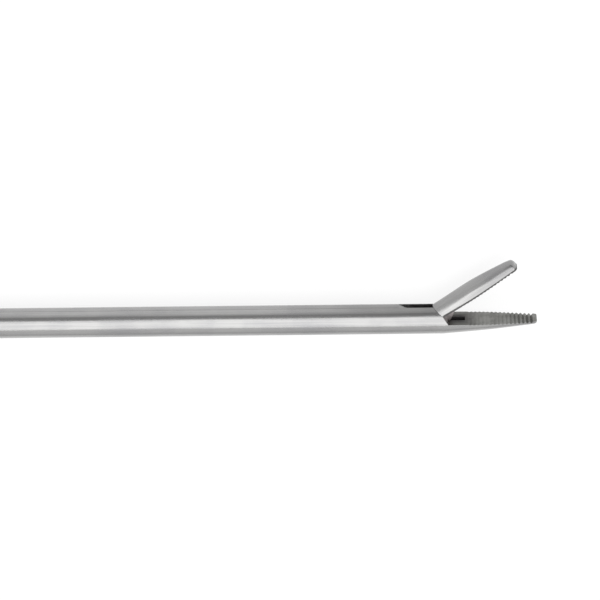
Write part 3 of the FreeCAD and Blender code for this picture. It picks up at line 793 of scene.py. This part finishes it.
# modelled in the middle of its travel and slid back to rest
def buildRod():
    wide = rod["sideways"]
    sole = shaft["rise"] - jawSlots["floor"] + rod["soleGap"]
    rearRise = linkage["arm"] * (1 + math.cos(math.radians(halfTurn))) / 2
    frontRise = hinge.y + crank * (1 + math.cos(halfOpen)) / 2
    ramp = hinge.x - rod["rampBack"]
    lap = hinge.x - crank - upper["tangRound"]
    flush = shaft["rise"] + math.sqrt(shaft["radius"] ** 2 - (jawSlots["wide"] / 2) ** 2)
    tailLong = lever["top"] + shaft["neckRadius"]
    tailTall = rearRise + rod["rearEye"] - sole
    piece = longBar("slideRod", [
        (lever["top"], shaft["neckRadius"]), (shaft["neck"], shaft["neckRadius"]),
        (shaft["straightFrom"], shaft["radius"]), (ramp, shaft["radius"])], barSteel, 2 * around)
    combine(piece, slab("keep", 0, sole, hinge.x, 2 * shaft["neckRadius"], wide, barSteel), "INTERSECT")
    combine(piece, plate("nose", [
        (ramp, sole), (lap, sole), (hinge.x, frontRise - eyeRound), (hinge.x, frontRise + eyeRound),
        (ramp + rod["rampLong"], frontRise + eyeRound), (ramp, flush)], wide, barSteel), "UNION")
    combine(piece, bar("frontEye", eyeRound, wide, hinge.x, frontRise, barSteel), "UNION")
    combine(piece, slab("tail", 0, sole, tailLong, tailTall, wide, barSteel), "UNION")
    combine(piece, bar("rearEye", rod["rearEye"], wide, 0, rearRise, barSteel), "UNION")
    combine(piece, slab("lap", lap, 0, 2 * (hinge.x - lap), block["tall"], wide, recessShadeSteel,
                        lift=(upper["lapPlay"] - wide) / 2))
    frontHole = upper["pin"] + upper["pinPlay"]
    combine(piece, bar("frontHole", frontHole, through, hinge.x, frontRise, recessShadeSteel))
    combine(piece, bar("rearHole", rod["rearHole"], through, 0, rearRise, recessShadeSteel))
    for x in (pivots["rearGuide"], pivots["frontGuide"]):
        cutWindow(piece, x)
    piece.data.transform(Matrix.Translation((-halfStroke, 0, 0)))
    return piece


# Finger handle with its lever, modelled where it rests
lever = {
    "thick": 2.0, "play": 0.05, "hub": 2.6, "top": 1.35, "gap": 0.35, "wide": 4.0, "reach": 12.0,
    "emerge": 9.4, "endTall": 5.5, "endWide": 3.0, "angle": 62.0, "fingerReach": 57.0,
    "floorGap": 0.22, "borePlay": 0.04, "pin": 0.5, "pinHalf": 1.0, "pinEdge": 0.06,
    "belt": 71.8,    # the way that the polishing lines run
}
leverTop = (-halfStroke, linkage["arm"] * math.cos(math.radians(halfTurn)))
fingerSteel = satinSteel("fingerSteel", -lever["belt"])


# the flat lever inside the block's fork
def buildLever(angle):
    thick = lever["thick"]
    top = lever["top"]
    reach = lever["reach"]
    wide = lever["wide"]
    return joinTools([
        bar("hub", lever["hub"], thick, 0, 0, fingerSteel, segments=hubAround),
        bar("top", top, thick, *leverTop, fingerSteel, segments=around),
        slab("armPlate", -top, 0, 2 * top, linkage["arm"], thick, fingerSteel, halfTurn),
        slab("legPlate", -reach, -wide / 2, reach, wide, thick, fingerSteel, angle),
    ])


def buildFingerHandle():
    angle = lever["angle"] + 2 * halfTurn
    bm = bmesh.new()
    end = handleCage(bm, angle, lever["fingerReach"], [
        handleSection(angle, lever["reach"], 0, lever["endTall"], lever["endWide"]),
        handleSection(angle, lever["emerge"], 0, lever["wide"], lever["thick"] - 2 * lever["play"]),
    ])
    capRing(bm, end)
    piece = subdivided(objectFrom(bm, "fingerHandle", fingerSteel))
    combine(piece, buildLever(angle), "UNION")
    floor = linkage["arm"] - rod["rearEye"] - lever["floorGap"]
    half = 2 * lever["top"]
    combine(piece, slab("forkGap", -half, floor, 2 * half, linkage["arm"], jawSlots["wide"], recessShadeSteel,
                        halfTurn))
    combine(piece, bar("leverBore", screw["radius"] + lever["borePlay"], through, 0, 0, recessShadeSteel))
    combine(piece, bar("rearPinBore", lever["pin"] + pivots["seam"], through, *leverTop, recessShadeSteel))
    return piece


# Pins, rivets and the handle screw
screw = {"radius": 1.2, "floor": 0.7, "head": 2.2, "headTall": 0.7, "sink": 0.5, "play": 0.02,
         "edgeTall": 0.18, "edgeWide": 0.2, "crown": 0.03, "slotWide": 0.6, "slotDeep": 0.45}


def buildPin(name, radius, half, x, y, soften):
    return bar(name, radius, 2 * half, x, y, pinSteel, soften=soften)


# a pin whose ends are ground off flush with the round of the shaft
def buildFlushPin(name, radius, x, y):
    flush = longBar("flush", [
        (0, shaft["neckRadius"]), (shaft["neck"], shaft["neckRadius"]),
        (shaft["straightFrom"], shaft["radius"]), (shaft["shoulder"], shaft["radius"])], barSteel)
    return combine(bar(name, radius, through, x, y, barSteel), flush, "INTERSECT")


def buildScrew():
    under = block["thick"] - screw["sink"] - middle
    top = under + screw["headTall"]
    base = screw["floor"] - middle
    profile = [
        (0, base), (screw["radius"], base), (screw["radius"], under), (screw["head"], under),
        (screw["head"], top - screw["edgeTall"]), (screw["head"] - screw["edgeWide"], top - screw["crown"]),
        (0, top)]
    bm = bmesh.new()
    spots = [bm.verts.new((out, 0, up + middle)) for out, up in profile]
    edges = [bm.edges.new(pair) for pair in zip(spots, spots[1:])]
    bmesh.ops.spin(bm, geom=spots + edges, cent=(0, 0, 0), axis=(0, 0, 1), angle=2 * math.pi,
                   steps=hubAround, use_merge=True)
    wide = screw["slotWide"]
    driverSlot = slab("driverSlot", -through / 2, -wide / 2, through, wide, 2 * screw["slotDeep"], recessShadeSteel,
                      lift=top)
    return combine(objectFrom(bm, "handleScrew", pinSteel), driverSlot)


# Each piece in turn, with the body that it rides on and the node that it stands for
handOver(carveForging(buildForging()), "base", "shaft_and_thumb_handle")
print("shaft, lower jaw and thumb handle made")
handOver(buildUpperJaw(), "jaw", "upper_jaw")
print("upper jaw made")
handOver(buildRod(), "rod", "slide_rod")
print("slide rod made")
handOver(buildFingerHandle(), "lever", "finger_handle")
print("finger handle made")
handOver(buildFlushPin("jawPivotPin", pivots["hingePin"], hinge.x, hinge.y), "base",
         "jaw_pivot_pin")
for name, x, node in (("rearGuideRivet", pivots["rearGuide"], "rear_guide_rivet"),
                      ("frontGuideRivet", pivots["frontGuide"], "front_guide_rivet")):
    handOver(buildFlushPin(name, pivots["guidePin"], x, guideRise), "base", node)
handOver(buildPin("rodFrontPin", upper["pin"], upper["pinHalf"], hinge.x - halfStroke, hinge.y + pinRise,
                  upper["pinEdge"]), "jaw", "rod_front_pin")
handOver(buildPin("rodRearPin", lever["pin"], lever["pinHalf"], *leverTop, lever["pinEdge"]), "lever",
         "rod_rear_pin")
handOver(buildScrew(), "base", "handle_screw")
print("pins, rivets and screw made")


# Floor, light and camera
studio = {
    "floorSize": 6000.0, "floorTone": 0.95,
    "showWhite": 0.8,    # how far the floor is plain white to the camera and in reflections
    "lampReach": 500.0, "lampFrom": 51.0, "lampTo": 119.0, "lampLong": 1000.0, "lampLevel": 1.6,
    "tentLevel": 0.95,
    "bandFrom": (12.0, 26.0), "bandTo": (118.0, 124.0), "bandDepth": 0.58,    # slopes seen from the table
    "bandEnds": (0.3, 0.6),    # sideways, the band fades out between these parts of a unit direction
    "backSlope": (146.0, 180.0), "backDepth": 0.3,
}
view = {"x": 72.33, "above": 2.005, "tilt": 27.0, "roll": 0.62, "distance": 600.0, "nearest": 10.0,
        "frameWide": 60.0, "sensor": 36.0}


def buildFloor():
    bm = bmesh.new()
    bmesh.ops.create_grid(bm, x_segments=1, y_segments=1, size=studio["floorSize"] * milli / 2)
    mesh = bpy.data.meshes.new("floor")
    bm.to_mesh(mesh)
    bm.free()
    floor = bpy.data.objects.new("floor", mesh)
    bpy.context.scene.collection.objects.link(floor)
    material, recipe = newMaterial("paper")
    path = recipe.node("ShaderNodeLightPath")
    seen = recipe.larger(recipe.signal(path, "Is Camera Ray"), recipe.signal(path, "Is Glossy Ray"))
    seen = recipe.larger(seen, recipe.signal(path, "Is Transmission Ray"))
    tone = studio["floorTone"]
    paper = recipe.node("ShaderNodeBsdfDiffuse", None, {"Color": (tone, tone, tone, 1)})
    white = recipe.node("ShaderNodeEmission", None, {"Color": (1, 1, 1, 1), "Strength": 1.0})
    both = recipe.node("ShaderNodeMixShader", None, {
        0: seen * studio["showWhite"], 1: recipe.signal(paper), 2: recipe.signal(white)})
    recipe.node("ShaderNodeOutputMaterial", None, {"Surface": recipe.signal(both)})
    mesh.materials.append(material)


# a pale tent round the table, open to a darker room in a band above its far wall
def buildWorld():
    world = bpy.data.worlds.new("tent")
    bpy.context.scene.world = world
    world.use_nodes = True
    recipe = Recipe(world.node_tree)
    way = recipe.coordinates("Generated")
    slope = recipe.reckon("ARCTAN2", recipe.axis(way, "Z"), recipe.axis(way, "Y"))
    sideways = recipe.reckon("ABSOLUTE", recipe.axis(way, "X"))
    low = recipe.ramp(slope, *map(math.radians, studio["bandFrom"]))
    high = recipe.ramp(slope, *map(math.radians, studio["bandTo"]), 1.0, 0.0)
    ends = recipe.ramp(sideways, *studio["bandEnds"], 1.0, 0.0)
    back = recipe.ramp(slope, *map(math.radians, studio["backSlope"]))
    level = studio["tentLevel"] - low * high * ends * studio["bandDepth"] - back * studio["backDepth"]
    shown = recipe.node("ShaderNodeCombineColor", None, {"Red": level, "Green": level, "Blue": level})
    ground = recipe.node("ShaderNodeBackground", None, {"Color": recipe.signal(shown), "Strength": 1.0})
    recipe.node("ShaderNodeOutputWorld", None, {"Surface": recipe.signal(ground)})


# a strip light over the shaft, from one slope to the other
def buildLamp():
    lift = math.radians((studio["lampFrom"] + studio["lampTo"]) / 2)
    spread = math.radians((studio["lampTo"] - studio["lampFrom"]) / 2)
    reach = studio["lampReach"] * milli
    long = studio["lampLong"] * milli
    wide = 2 * reach * math.tan(spread)
    data = bpy.data.lights.new("softbox", "AREA")
    data.shape = "RECTANGLE"
    data.size = long
    data.size_y = wide
    data.energy = studio["lampLevel"] * math.pi * long * wide
    lamp = bpy.data.objects.new("softbox", data)
    away = Vector((0, math.cos(lift), math.sin(lift)))
    lamp.location = Vector((view["x"] * milli, shaft["rise"] * milli, 0)) + away * reach
    lamp.rotation_euler = (lift - math.pi / 2, 0, 0)
    lamp.visible_camera = False
    bpy.context.scene.collection.objects.link(lamp)


def buildCamera():
    tilt = math.radians(view["tilt"])
    roll = math.radians(view["roll"])
    toward = Vector((0, math.sin(tilt), math.cos(tilt)))
    level = Vector((0, math.cos(tilt), -math.sin(tilt)))
    along = Vector((1, 0, 0))
    up = level * math.cos(roll) + along * math.sin(roll)
    right = along * math.cos(roll) - level * math.sin(roll)
    target = (Vector((view["x"], shaft["rise"], middle)) + level * view["above"]) * milli
    data = bpy.data.cameras.new("camera")
    data.sensor_width = view["sensor"]
    data.lens = view["sensor"] * view["distance"] / view["frameWide"]
    data.clip_start = view["nearest"] * milli
    camera = bpy.data.objects.new("camera", data)
    place = Matrix((right, up, toward)).transposed().to_4x4()
    place.translation = target + toward * view["distance"] * milli
    camera.matrix_world = place
    bpy.context.scene.collection.objects.link(camera)
    bpy.context.scene.camera = camera


buildFloor()
buildWorld()
buildLamp()
buildCamera()
bpy.context.scene.view_settings.view_transform = "Standard"
print("studio made")
